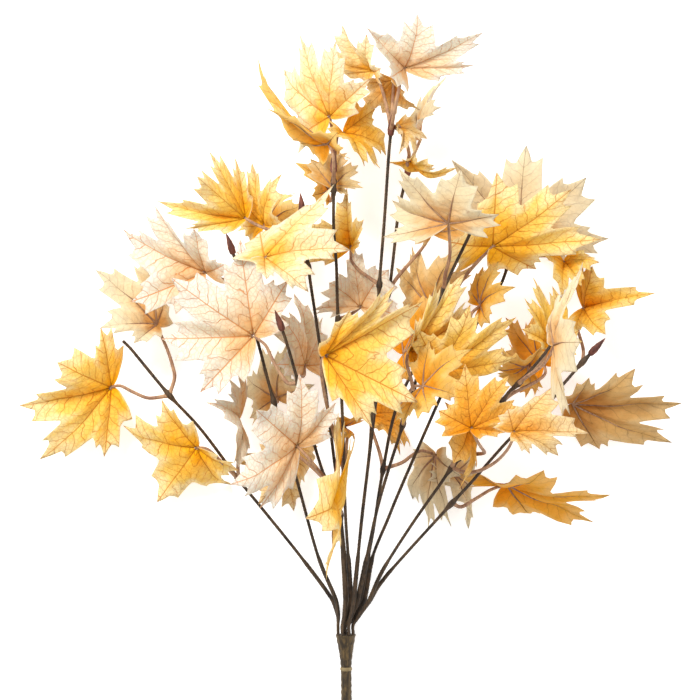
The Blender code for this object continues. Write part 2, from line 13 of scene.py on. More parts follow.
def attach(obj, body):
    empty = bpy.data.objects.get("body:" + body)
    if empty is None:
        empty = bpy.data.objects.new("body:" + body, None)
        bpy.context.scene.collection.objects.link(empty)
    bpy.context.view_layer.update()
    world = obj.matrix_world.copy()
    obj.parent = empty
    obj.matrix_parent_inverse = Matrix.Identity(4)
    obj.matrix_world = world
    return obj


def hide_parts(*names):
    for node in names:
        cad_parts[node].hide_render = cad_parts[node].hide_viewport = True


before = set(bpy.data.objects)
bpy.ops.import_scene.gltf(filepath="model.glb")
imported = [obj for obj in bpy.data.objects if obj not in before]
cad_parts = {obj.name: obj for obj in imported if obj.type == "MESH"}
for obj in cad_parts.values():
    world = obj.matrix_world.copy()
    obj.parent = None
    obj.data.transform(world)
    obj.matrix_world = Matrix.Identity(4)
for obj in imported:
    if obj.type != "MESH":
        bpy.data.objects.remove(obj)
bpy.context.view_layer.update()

# ==================================================================== layout
MM = 0.001

# ---------------------------------------------------------------- dimensions
BLADE_T = 1.2          # blade thickness
GAP = 0.35             # free gap kept between neighbouring solids
LAY_GAP = 1.6          # height kept between two leaves that lie over each other
ARCH = 5.0             # rise of a lobe between its base and its tip
CELL = 3.0             # cell of the height map that the leaves are laid up on
STALK_R = 1.0          # radius of a leaf stalk
WIRE_R = 1.2           # bare wire of a branch
SLEEVE_R = 1.9         # thicker sleeve near the crown
KNUCKLE_R = 2.5        # moulded knuckle where leaf stalks leave a branch
BUD_R = 2.4            # half the width of a tip bud
BUD_L = 18.0           # length of a tip bud
STEM_R = 4.0           # main stem
CROWN_R = 7.2          # swollen crown that carries the branches
CENTRE = (0.07, 0.38, -0.41)  # shift that centres the box in plan and sets it down
FINE = 12              # steps per stalk segment when its way is checked
PASSES = 4             # times that leaves and branches are laid on each other
CROWN_TOP = (-4.0, -188.0, 16.0)
STEM_FOOT = (-3.0, -277.0, 4.3)
# where each branch leaves the crown's top face: offsets in x and z
RING_OUT = 6.2
RING_IN = 2.6
OUTER = (11, 6, 3, 2, 1, 4, 7, 12)
INNER = (10, 9, 5, 8)

# one leaf: five veins, their angle from the centre vein and relative length
VEINS = ((-83, 0.68), (-42, 0.97), (0, 1.0), (42, 0.97), (83, 0.68))
# half outline of a blade: angle from the centre vein, radius over leaf size
HALF = ((0, 1.0), (12.5, 0.82), (21, 0.57), (30, 0.8), (42, 0.97), (54, 0.8),
        (63, 0.47), (83, 0.68), (103, 0.36), (138, 0.12))

# ------------------------------------------------------------------ branches
# route of each branch from the crown out: x, y and height above the table
BRANCHES = {
    1: ((-13.5, -163, 12), (-38, -129, 19), (-70, -89, 26), (-83, -73, 28),
        (-113, -33, 33), (-137, -7, 36), (-166, 28, 38), (-172, 34, 38)),
    2: ((-11, -163, 19.5), (-25, -128, 30), (-41, -70, 50), (-58, -12, 62),
        (-71, 37, 68), (-88, 98, 72), (-94, 115, 72)),
    3: ((-4.5, -163, 25), (-7.5, -115, 40), (-13.5, -89, 52), (-27, -46, 70),
        (-40, 4, 92), (-50, 38, 108), (-57, 57, 114)),
    4: ((-3.5, -163, 9), (-4.5, -130, 22), (-11, -70, 44), (-23, 27, 68),
        (-32, 89, 74), (-38, 145, 78)),
    5: ((-0.5, -163, 18.5), (-4, -100, 44), (-5, -67, 56), (-6, -33, 62),
        (-10, 57, 74), (-11, 91, 78), (-13, 118, 82), (-13, 149, 86),
        (-13, 177, 88)),
    6: ((2, -163, 26.5), (4.5, -138, 30), (8, -100, 44), (14, -48, 62),
        (16.5, -3, 74), (21, 72, 82), (25, 124, 88), (28, 169, 90),
        (30, 192, 90), (31, 205, 90)),
    7: ((1.5, -163, 6.5), (10, -85, 28), (19, -10, 34), (31, 89, 40),
        (36, 132, 46), (43, 163, 54), (43, 175, 56)),
    8: ((8, -163, 12), (13, -130, 17), (17, -108, 26), (24, -64, 42), (35, -14, 50),
        (59, 34, 50), (80, 74, 50)),
    9: ((4.5, -163, 21.5), (18, -100, 45), (27, -67, 56), (39, -29, 68),
        (48, 2, 76), (58, 36, 78), (70, 73, 82), (92, 120, 86)),
    10: ((9.5, -163, 16.5), (16, -130, 26), (28, -100, 36), (37, -78, 42),
         (64, -16, 52), (87, 34, 52), (114, 79, 50), (118, 96, 50)),
    11: ((13, -163, 22.5), (24, -139, 30), (46, -104, 48), (67, -74, 60),
         (76, -61, 64), (96, -37, 70), (119, -4, 76), (126, 2, 77),
         (148, 28, 80), (158, 47, 82)),
    12: ((14, -163, 11), (27, -143, 24), (76, -88, 60), (89, -74, 64),
         (119, -40, 66), (151, -8, 68), (174, 18, 72), (191, 36, 76)),
}
BUDS = (2, 3, 4, 5, 6, 7, 12)
# where leaf stalks leave each branch, as y along its route
KNUCKLES = {1: (-7, -70.5), 2: (-12, 76), 3: (2, -70.5), 4: (104, 89, -97),
            5: (-67, 49.5, 147, 153), 6: (192, 76), 7: (163, 72), 8: (-63, 74),
            9: (-29, -3, 73), 10: (42, 92), 11: (-61.5, -53, 2, -12),
            12: (-88.5, -8, 18)}

# -------------------------------------------------------------------- leaves
# Listed in the order they are laid down, the lowest first. Each row holds the
# name, branch, knuckle, base x and y, least height, size, flatness, and the
# plan offset of each vein tip with +1 or -1 for a tip that rises or droops.
# `over` lists the branches that the leaf lies on top of.
LEAVES = (
    ("leaf_b09_c", 9, 2, (60, 61), 20, 60, 0.6, (),
     ((35, 30, 1), (18, 43, 1), (-14, 46, -1), (-22, 30, -1), (-20, -5, -1))),
    ("leaf_b10_c", 10, 1, (127, 112), 16, 85, 0.5, (),
     ((65, 1, 1), (53, 48, 1), (4, 68, 1), (-50, 60, 1), (-50, 15, -1))),
    ("leaf_b03_b", 3, 1, (-51, -52), 22, 58, 0.6, (1,),
     ((25, 15, -1), (22, -15, -1), (4, -44, -1), (-20, -38, 1), (-35, -6, 1))),
    ("leaf_b03_d", 3, 0, (-35, 15), 26, 65, 0.6, (),
     ((-25, 0, 1), (-22, 42, 1), (-5, 56, -1), (10, 36, -1), (20, 0, -1))),
    ("leaf_b12_b", 12, 1, (167, -13), 24, 88, 0.5, (),
     ((21, -32, -1), (74, -30, -1), (88, 3, 1), (47, 23, 1), (12, 22, 1))),
    ("leaf_b08_b", 8, 0, (16, -22), 24, 53, 0.5, (),
     ((0, 20, -1), (21, -2, -1), (30, -23, -1), (20, -32, 1), (-4, -13, 1))),
    ("leaf_b08_a", 8, 0, (64.5, -52.5), 20, 65, 0.5, (),
     ((-15, -2, -1), (-21, -33, -1), (-2, -58, -1), (12, -53, 1), (20, -15, 1))),
    ("leaf_b05_e", 5, 1, (7, 59), 36, 57, 0.6, (7,),
     ((-35, -4, -1), (-24, 18, -1), (-6, 46, -1), (22, 32, -1), (35, -10, -1))),
    ("leaf_b06_d", 6, 1, (0, 105), 40, 53, 0.6, (),
     ((8, 6, 1), (10, 21, 1), (-4, 44, 1), (-33, 18, 1), (-35, -5, -1))),
    ("leaf_b05_c", 5, 2, (-18, 147), 40, 51, 0.6, (),
     ((7, 19, -1), (3, 36, -1), (-8, 41, 1), (-22, 22, 1), (-16, -4, 1))),
    ("leaf_b05_d", 5, 2, (-13, 148.5), 50, 44, 0.5, (),
     ((12, -6, 1), (24, -1, 1), (22, 16, 1), (8, 28, -1), (-15, 20, -1))),
    ("leaf_b07_c", 7, 0, (45, 169.5), 40, 47, 0.6, (7,),
     ((4, 8, 1), (20, 2, 1), (33, -11, 1), (19, -9, -1), (-10, 2, -1))),
    ("leaf_b07_a", 7, 0, (52.5, 186), 36, 55, 0.5, (),
     ((3, 10, 1), (14, 25, 1), (20, 50, 1), (3, 30, -1), (-7, 10, -1))),
    ("leaf_b06_c", 6, 0, (32, 230), 60, 44, 0.6, (),
     ((10, -7, 1), (20, -22, -1), (-2, -26, -1), (-24, -22, -1), (-21, 2, -1))),
    ("leaf_b06_b", 6, 0, (17, 237), 70, 54, 0.5, (),
     ((-20, 2, -1), (-40, 18, -1), (-24, 36, 1), (-6, 26, 1), (8, 4, 1))),
    ("leaf_b05_h", 5, 3, (-6, 190), 60, 54, 0.5, (),
     ((22, 16, -1), (34, -14, -1), (26, -31, 1), (16, -26, 1), (-10, -5, 1))),
    ("leaf_b12_a", 12, 0, (118, -74), 30, 85, 0.35, (),
     ((-25, 11, 1), (28, 9, 1), (79, -8, 1), (67, -22, -1), (18, -20, -1))),
    ("leaf_b01_d", 1, 1, (-85, -26), 14, 61, 0.5, (1,),
     ((0, -38, 1), (-4, -32, 1), (-19, 15, 1), (-12, 25, 1), (-5, 40, 1))),
    ("leaf_b12_c", 12, 2, (175.5, 58.5), 24, 64, 0.5, (),
     ((0, 40, 1), (10, 32, 1), (52, 12, 1), (15, -20, 1), (-4, -20, 1))),
    ("leaf_b10_d", 10, 1, (160.5, 93), 34, 44, 0.5, (),
     ((19, 4, -1), (26, -3, 1), (14, -22, 1), (-2, -26, 1), (-18, 4, 1))),
    ("leaf_b01_c", 1, 1, (-116, -46.5), 20, 73, 0.62, (1,),
     ((32, -14, 1), (24, -33, -1), (-27, -35, -1), (-58, 17, -1), (-25, 36, 1))),
    ("leaf_b01_a", 1, 0, (-181, -1), 24, 82, 0.5, (1,),
     ((-7, -49, -1), (-52, -57, -1), (-74, -14, 1), (-40, 19, 1), (-9, 46, 1))),
    ("leaf_b01_b", 1, 0, (-147, 46), 30, 67, 0.5, (1,),
     ((5, 22, -1), (-11, 56, -1), (-48, 40, 1), (-43, -2, 1), (-18, -15, 1))),
    ("leaf_b08_c", 8, 1, (106.5, 105), 44, 88, 0.3, (8, 10),
     ((-32, 4, -1), (3, 57, 1), (62, 45, 1), (80, 7, -1), (33, -16, -1))),
    ("leaf_b10_b", 10, 0, (98, 61), 56, 48, 0.5, (8, 10),
     ((10, -15, 1), (24, 14, 1), (16, 32, 1), (2, 30, -1), (-5, 14, -1))),
    ("leaf_b09_b", 9, 0, (40, 24), 50, 61, 0.35, (8,),
     ((4, -20, 1), (25, 8, 1), (38, 22, 1), (30, 45, -1), (0, 30, -1))),
    ("leaf_b09_d", 9, 1, (43, 27), 70, 74, 0.3, (8, 9, 10),
     ((4, 24, 1), (20, 52, 1), (39, 62, -1), (52, 32, -1), (25, -5, -1))),
    ("leaf_b10_a", 10, 0, (65, 12), 70, 76, 0.3, (8, 9, 10, 11),
     ((-15, 30, 1), (26, 49, 1), (58, 44, 1), (58, 10, -1), (18, -12, -1))),
    ("leaf_b09_a", 9, 0, (54, 0), 80, 57, 0.3, (7, 8, 9, 10),
     ((-15, -30, 1), (7, -22, 1), (30, -9, 1), (35, 30, 1), (6, 31, -1))),
    ("leaf_b11_d", 11, 0, (87, -33), 60, 54, 0.35, (10, 11, 12),
     ((2, -13, -1), (4, -30, -1), (0, -43, 1), (-13, -26, 1), (-22, 14, 1))),
    ("leaf_b11_b", 11, 1, (90, -31.5), 70, 59, 0.25, (10, 11, 12),
     ((-24, 13, -1), (-3, 47, -1), (29, 42, 1), (39, 16, 1), (26, -3, 1))),
    ("leaf_b11_f", 11, 2, (148, 31), 60, 60, 0.45, (),
     ((-21, 11, 1), (-20, 36, 1), (-14, 50, 1), (5, 45, -1), (20, 10, -1))),
    ("leaf_b11_a", 11, 0, (121, -34), 70, 63, 0.25, (11, 12),
     ((-4, 15, -1), (30, 34, -1), (60, -2, -1), (33, -16, 1), (12, -18, 1))),
    ("leaf_b11_e", 11, 2, (151.5, 31), 80, 74, 0.3, (11, 12),
     ((2, 20, -1), (5, 39, -1), (25, 61, 1), (19, 2, 1), (14, -51, 1))),
    ("leaf_b05_f", 5, 3, (-16, 202), 74, 74, 0.5, (5,),
     ((-25, -16, -1), (-37, 35, -1), (-20, 67, -1), (6, 56, 1), (32, 29, 1))),
    ("leaf_b05_g", 5, 3, (-17, 182), 84, 81, 0.4, (5,),
     ((-17, 4, -1), (-46, 34, -1), (-58, 58, 1), (-40, 35, 1), (8, 9, 1))),
    ("leaf_b06_a", 6, 0, (40, 238.5), 94, 70, 0.5, (),
     ((-12, -4, 1), (-30, 32, 1), (12, 38, 1), (57, 27, 1), (51, 4, -1))),
    ("leaf_b07_b", 7, 0, (33, 194), 60, 41, 0.5, (7,),
     ((13, 2, -1), (20, -12, -1), (16, -24, 1), (5, -20, 1), (-1, -8, 1))),
    ("leaf_b04_b", 4, 0, (-65, 121), 60, 60, 0.5, (4,),
     ((-14, 0, -1), (-21, 34, -1), (-4, 50, 1), (10, 37, 1), (20, 0, 1))),
    ("leaf_b04_a", 4, 0, (-79.5, 126), 70, 68, 0.8, (4,),
     ((-47, -6, -1), (-63, 10, 1), (-39, 34, 1), (-28, 52, 1), (-8, 44, -1))),
    ("leaf_b02_a", 2, 1, (-109, 85.5), 50, 77, 0.45, (2,),
     ((-52, -19, -1), (-65, 33, -1), (-40, 50, 1), (-8, 34, 1), (16, 8, 1))),
    ("leaf_b09_e", 9, 2, (73, 122), 80, 67, 0.5, (6, 7, 9),
     ((39, 8, 1), (9, 39, 1), (-38, 43, 1), (-44, 16, -1), (-45, -8, 0))),
    ("leaf_b03_c", 3, 0, (-73, 37.5), 70, 82, 0.45, (2,),
     ((-38, -40, -1), (-72, -2, -1), (-63, 44, 1), (-10, 74, 1), (26, 42, 1))),
    ("leaf_b04_c", 4, 1, (-64.5, 96), 80, 78, 0.4, (2, 3, 4, 5),
     ((-2, 17, -1), (53, 51, -1), (66, 9, 1), (33, -26, 1), (3, -18, 1))),
    ("leaf_b04_d", 4, 2, (-14, -83), 70, 83, 0.4, (1, 2, 3, 4, 5, 6),
     ((7, 34, -1), (-2, -36, -1), (-8, -62, 1), (-12, -17, 1), (-4, 56, 1))),
    ("leaf_b03_a", 3, 1, (-40.5, -45), 76, 77, 0.5, (1, 2, 3, 4, 5),
     ((-28, -46, 1), (-48, -29, 1), (-37, 33, 1), (4, 52, 1), (27, 33, 1))),
    ("leaf_b05_a", 5, 0, (-19.5, 23), 100, 91, 0.3, (3, 4, 5, 6, 7, 8, 9),
     ((17, 34, 1), (56, 52, 1), (72, 41, -1), (70, -35, -1), (34, -52, -1))),
)

# stalks whose way from the leaf base to the knuckle is seen: plan points
STALK_BY_WAY = {
    "leaf_b01_a": ((-174, 0), (-154, -9)),
    "leaf_b01_b": ((-138, 26), (-133, 6)),
    "leaf_b08_a": ((52, -49), (38, -58)),
    "leaf_b12_a": ((106, -78), (93, -85.5), (83, -91)),
    "leaf_b09_e": ((74, 98), (70.5, 83)),
    "leaf_b08_c": ((93, 91), (84, 80)),
    "leaf_b03_c": ((-64.5, 31), (-57, 16), (-47, 2)),
}

# ------------------------------------------------------------------- helpers
def smooth_route(points, step):
    """Points every `step` or so along a Catmull-Rom curve through `points`."""
    pts = [np.array(p, float) for p in points]
    ends = [2 * pts[0] - pts[1]] + pts + [2 * pts[-1] - pts[-2]]
    out = []
    for a, b, c, d in zip(ends, ends[1:], ends[2:], ends[3:]):
        count = max(1, round(float(np.linalg.norm(c - b)) / step))
        for k in range(count):
            t = k / count
            out.append(0.5 * (2 * b + (c - a) * t + (2 * a - 5 * b + 4 * c - d) * t * t
                              + (3 * b - a - 3 * c + d) * t ** 3))
    out.append(pts[-1])
    return out


def vein_tips(row):
    """Each vein's tip, from its plan offset; what length is left goes up or down."""
    size, flat, tips = row[5], row[6], row[8]
    out = []
    for (angle, share), (dx, dy, side) in zip(VEINS, tips):
        rest = max(0.0, (0.95 * share * size) ** 2 - dx * dx - dy * dy)
        out.append(np.array((dx, dy, side * flat * math.sqrt(rest))))
    return out


def reach(tips, angle):
    """Full length and direction of the blade at an angle from the centre vein."""
    k = max(0, min(3, sum(angle > v[0] for v in VEINS) - 1))
    (a0, s0), (a1, s1) = VEINS[k], VEINS[k + 1]
    w0 = math.sin(math.radians(a1 - angle))
    w1 = math.sin(math.radians(angle - a0))
    return (w0 * tips[k] / s0 + w1 * tips[k + 1] / s1) / math.sin(math.radians(a1 - a0))


def facing(tips):
    """Unit normal of the blade's upper face, from the fan of its veins."""
    total = np.zeros(3)
    for a, b in zip(tips, tips[1:]):
        total += np.cross(b, a)
    return total / np.linalg.norm(total)


def outline(row):
    """The blade's edge, as offsets from the leaf base, once round from the back."""
    tips = vein_tips(row)
    up = facing(tips)
    side = 1 if up[2] > 0 else -1
    turn = [(-a, r) for a, r in HALF[:0:-1]] + list(HALF)
    out = []
    for angle, r in turn:
        lift = up * side * ARCH * 4 * r * (1 - r)
        out.append(reach(tips, angle) * r + lift)
    fan = sum(np.cross(a, b) @ up for a, b in zip(out, out[1:]))
    if fan * (np.cross(out[-1], out[0]) @ up) < 0:
        out = out[1:-1]
    return out


def height_map(base, corners):
    """Lowest and highest point, over each plan cell, of the fan from base to edge."""
    cells = {}
    for a, b in zip(corners, corners[1:] + corners[:1]):
        longest = max(np.linalg.norm(a), np.linalg.norm(b), np.linalg.norm(a - b))
        n = 2 + int(longest / 1.4)
        for i in range(n + 1):
            for j in range(n + 1 - i):
                p = base + (a * i + b * j) / n
                key = (math.floor(p[0] / CELL), math.floor(p[1] / CELL))
                low, high = cells.get(key, (1e9, -1e9))
                cells[key] = (min(low, p[2]), max(high, p[2]))
    return cells


def branch_route(number):
    """The centre line of a branch from the crown's face to its tip."""
    axis = np.array(CROWN_TOP) - np.array(STEM_FOOT)
    axis /= np.linalg.norm(axis)
    upward = np.cross(np.array((1.0, 0, 0)), axis)
    x, z = crown_slot(number)
    start = np.array(CROWN_TOP) + axis * 2 * GAP + np.array((x, 0, 0)) + upward * z
    lead = start + axis * 7.0
    return smooth_route([start, lead] + list(BRANCHES[number]), 9.0)


def crown_slot(number):
    """Offset of a branch on the crown's face: eight outer places, four inner."""
    if number in OUTER:
        turn, radius = 22.5 + 45 * OUTER.index(number), RING_OUT
    else:
        turn, radius = 90 * INNER.index(number), RING_IN
    return (radius * math.cos(math.radians(turn)), radius * math.sin(math.radians(turn)))


def branch_line(number, lifts):
    """Fine centre line of a branch, raised where it passes over leaves."""
    fine = smooth_route(branch_route(number), 1.5)
    if number in lifts:
        fine = [p + np.array((0, 0, up)) for p, up in zip(fine, lifts[number])]
    return fine


def wire_cells(p):
    """The plan cells that a wire covers at one point of its line."""
    keys = set()
    for dx in (-2.4, 0, 2.4):
        for dy in (-2.4, 0, 2.4):
            keys.add((math.floor((p[0] + dx) / CELL), math.floor((p[1] + dy) / CELL)))
    return keys


def branch_map(number, lifts):
    """Height map of a branch, a little wider than the wire."""
    cells = {}
    for p in branch_line(number, lifts):
        for key in wire_cells(p):
            low, high = cells.get(key, (1e9, -1e9))
            cells[key] = (min(low, p[2] - KNUCKLE_R), max(high, p[2] + KNUCKLE_R))
    return cells


def lift_over(number, below):
    """How far each point of a branch is raised so that it clears leaves under it.
    A raised point draws its neighbours up in a long easy arc."""
    fine = branch_line(number, {})
    need = []
    for p in fine:
        up = 0.0
        for cells in below:
            for key in wire_cells(p):
                if key in cells:
                    up = max(up, cells[key][1] + KNUCKLE_R + 1.0 - p[2])
        need.append(up)
    out = []
    for i in range(len(fine)):
        up = 0.0
        for j in range(max(0, i - 34), min(len(fine), i + 35)):
            if need[j] > 0:
                up = max(up, need[j] * math.cos(math.pi / 2 * (i - j) / 35) ** 2)
        out.append(up * min(1.0, i / 20))
    return out


def lay_up():
    """Heights of the leaf bases and lifts of the branches. Leaves are laid one on
    another in order, and on the branches they cover; then each branch is raised over
    the leaves under it, and the leaves are laid again."""
    maps = {}
    for row in LEAVES:
        base = np.array((row[3][0], row[3][1], 0.0))
        maps[row[0]] = height_map(base, outline(row))
    lifts, heights = {}, {}
    for turn in range(PASSES):
        wires = {n: branch_map(n, lifts) for n in BRANCHES}
        laid = []
        for row in LEAVES:
            cells = maps[row[0]]
            z = max(row[4], 0.3 + BLADE_T - min(low for low, high in cells.values()))
            for other in laid + [wires[n] for n in row[7]]:
                for key, (low, high) in cells.items():
                    if key in other:
                        z = max(z, other[key][1] - low + BLADE_T + LAY_GAP)
            heights[row[0]] = z
            laid.append({k: (low + z, high + z) for k, (low, high) in cells.items()})
        if turn < PASSES - 1:
            for n in BRANCHES:
                under = [laid[k] for k, row in enumerate(LEAVES) if n not in row[7]]
                lifts[n] = lift_over(n, under)
    return heights, lifts


def blade(row, z):
    """A lobed sheet of even thickness: two fans from the leaf base and a rim."""
    tips = vein_tips(row)
    up = facing(tips)
    if up[2] < 0:
        up = -up
    base = np.array((row[3][0], row[3][1], z))
    edge = [base] + [base + p for p in outline(row)]
    count = len(edge)
    verts = [p + up * BLADE_T / 2 for p in edge] + [p - up * BLADE_T / 2 for p in edge]
    turn = sum(float(np.cross(a - base, b - base) @ up) for a, b in zip(edge[1:], edge[2:]))
    faces = []
    for k in range(1, count):
        n = k + 1 if k + 1 < count else 1
        faces.append((0, k, n))
        faces.append((count, count + n, count + k))
        faces.append((k, count + k, count + n, n))
    if turn < 0:
        faces = [f[::-1] for f in faces]
    return verts, faces


def tube(points, radii, sides):
    """A closed tube round a line of points, with flat ends."""
    pts = [Vector(p) for p in points]
    verts, faces = [], []
    heading = (pts[1] - pts[0]).normalized()
    across = heading.orthogonal().normalized()
    for k, p in enumerate(pts):
        ahead = pts[min(k + 1, len(pts) - 1)] - pts[max(k - 1, 0)]
        turn = heading.rotation_difference(ahead.normalized())
        across = (turn @ across).normalized()
        heading = ahead.normalized()
        other = heading.cross(across)
        for j in range(sides):
            a = 2 * math.pi * (j + 0.5) / sides
            verts.append(np.array(p + (across * math.cos(a) + other * math.sin(a)) * radii[k]))
    for k in range(len(pts) - 1):
        for j in range(sides):
            a, b = k * sides + j, k * sides + (j + 1) % sides
            faces.append((a, b, b + sides, a + sides))
    faces.append(tuple(range(sides))[::-1])
    faces.append(tuple(range((len(pts) - 1) * sides, len(pts) * sides)))
    return verts, faces


def branch_radius(route):
    """Sleeve, bare wire, knuckles and bud along a branch, as one radius per point."""
    number, pts = route
    far = [0.0]
    for a, b in zip(pts, pts[1:]):
        far.append(far[-1] + float(np.linalg.norm(b - a)))
    out = []
    for p, s in zip(pts, far):
        r = SLEEVE_R if 20 < s < 62 else WIRE_R
        if any(abs(p[1] - y) < 3.2 for y in KNUCKLES[number]) and s > 20:
            r = KNUCKLE_R
        left = far[-1] - s
        if number in BUDS and left < BUD_L:
            r = BUD_R * math.sin(math.pi * min(1.0, 0.12 + 0.85 * left / BUD_L)) ** 0.8
        out.append(r)
    return out


def branch_points(number, lifts):
    """Points of a branch with extra ones at each knuckle and along the bud."""
    fine = branch_line(number, lifts)
    last = len(fine) - 1
    keep = set(range(0, last + 1, 13)) | {0, 4, last}
    for y in KNUCKLES[number]:
        k = min(range(30, last + 1), key=lambda i: abs(fine[i][1] - y))
        keep |= {max(0, k - 3), max(0, k - 1), min(last, k + 1), min(last, k + 3)}
    if number in BUDS:
        keep |= {last - 2, last - 6, last - 9, last - 12}
    keep = sorted(keep)
    thin = [keep[0]]
    for k in keep[1:]:
        if k - thin[-1] >= 2 or k == last:
            thin.append(k)
    return [fine[k] for k in thin]


def knuckle_point(number, which, lifts):
    """Centre of a knuckle and the direction the branch runs there."""
    fine = branch_line(number, lifts)
    y = KNUCKLES[number][which]
    k = min(range(30, len(fine) - 1), key=lambda i: abs(fine[i][1] - y))
    return fine[k], (fine[k + 1] - fine[k - 1]) / np.linalg.norm(fine[k + 1] - fine[k - 1])


def stalk_choices(row, z, lifts):
    """Ways for a stalk to run from the leaf base to its knuckle, straightest first."""
    base = np.array((row[3][0], row[3][1], z))
    vein = vein_tips(row)[2]
    back = -vein / np.linalg.norm(vein)
    knot, along = knuckle_point(row[1], row[2], lifts)
    if row[0] in STALK_BY_WAY:
        way = STALK_BY_WAY[row[0]]
        stops = len(way) + 1
        mid = [np.array((x, y, z + (knot[2] - z) * (k + 1) / stops))
               for k, (x, y) in enumerate(way)]
        for rise in (0, 6, -6, 12, -12):
            bent = [m + np.array((0, 0, rise)) for m in mid]
            yield smooth_route([base] + bent + [knot], 10.0)
        return
    span = float(np.linalg.norm(knot - base))
    leave = (base - knot) / max(span, 1e-6) + along * 0.6
    leave /= np.linalg.norm(leave)
    flat_side = np.array((-(knot - base)[1], (knot - base)[0], 0.0))
    flat_side /= max(np.linalg.norm(flat_side), 1e-6)
    count = max(2, round(span / 12.0))
    for bow in (0, 5, -5, 10, -10, 16, -16):
        for rise in (0, 5, -5, 10, -10, 18, -18):
            for pull in (0.8, 0.3):
                pts = []
                for k in range(count + 1):
                    t = k / count
                    h0 = 2 * t ** 3 - 3 * t * t + 1
                    h1 = t ** 3 - 2 * t * t + t
                    h3 = t ** 3 - t * t
                    p = h0 * base + (1 - h0) * knot + span * pull * (h1 * back - h3 * leave)
                    swell = 4 * t * (1 - t)
                    pts.append(p + swell * (bow * flat_side + np.array((0, 0, rise))))
                yield pts


def clear_length(points, others, radius):
    """How many points from the leaf base are clear of the other solids."""
    fine = [points[0]]
    for a, b in zip(points, points[1:]):
        for t in range(1, FINE + 1):
            fine.append(a + (b - a) * t / FINE)
    for k, p in enumerate(fine):
        for low, high, tree in others:
            if np.any(p < low) or np.any(p > high):
                continue
            if tree.find_nearest(Vector(p), radius + GAP)[0] is not None:
                return (k - 1) / FINE
    return (len(fine) - 1) / FINE


def tree_of(verts, faces):
    """Lowest and highest corner, widened by 3 mm, and a search tree of a solid."""
    pts = np.array(verts)
    tree = BVHTree.FromPolygons([Vector(v) for v in verts], faces)
    return pts.min(axis=0) - 3, pts.max(axis=0) + 3, tree


# ================================================================= materials
def linear(code):
    """An sRGB hex colour as linear red, green, blue and alpha."""
    out = []
    for k in (1, 3, 5):
        c = int(code[k:k + 2], 16) / 255
        out.append(c / 12.92 if c <= 0.04045 else ((c + 0.055) / 1.055) ** 2.4)
    return (*out, 1.0)


def node(tree, kind, settings=None, **links):
    """Add a node, set its properties and link or set its inputs by name."""
    new = tree.nodes.new(kind)
    for key, value in (settings or {}).items():
        setattr(new, key, value)
    for key, value in links.items():
        name = key.replace("_", " ")
        socket = new.inputs[int(key[1:])] if key[0] == "i" and key[1:].isdigit() \
            else new.inputs[name]
        if isinstance(value, bpy.types.NodeSocket):
            tree.links.new(value, socket)
        else:
            socket.default_value = value
    return new


def sums(tree, how, a, b=0.0, c=0.0):
    """Output of a maths node."""
    return node(tree, "ShaderNodeMath", {"operation": how}, i0=a, i1=b, i2=c).outputs[0]


def ramp(tree, value, low, high, to_low, to_high):
    """Smooth change of a value from one level to another."""
    return node(tree, "ShaderNodeMapRange", {"interpolation_type": "SMOOTHSTEP"},
                i0=value, i1=low, i2=high, i3=to_low, i4=to_high).outputs[0]


def blend_colour(tree, share, first, second):
    """A mix of two colours by a share of the second."""
    return node(tree, "ShaderNodeMix", {"data_type": "RGBA"},
                i0=share, i6=first, i7=second).outputs[2]


def noise(tree, place, scale, detail, rough=0.5):
    """Output of a noise texture."""
    return node(tree, "ShaderNodeTexNoise", None, Vector=place, Scale=scale,
                Detail=detail, Roughness=rough).outputs["Fac"]


def fresh(name):
    """An empty material and its node tree."""
    mat = bpy.data.materials.new(name)
    mat.use_nodes = True
    mat.node_tree.nodes.clear()
    return mat, mat.node_tree


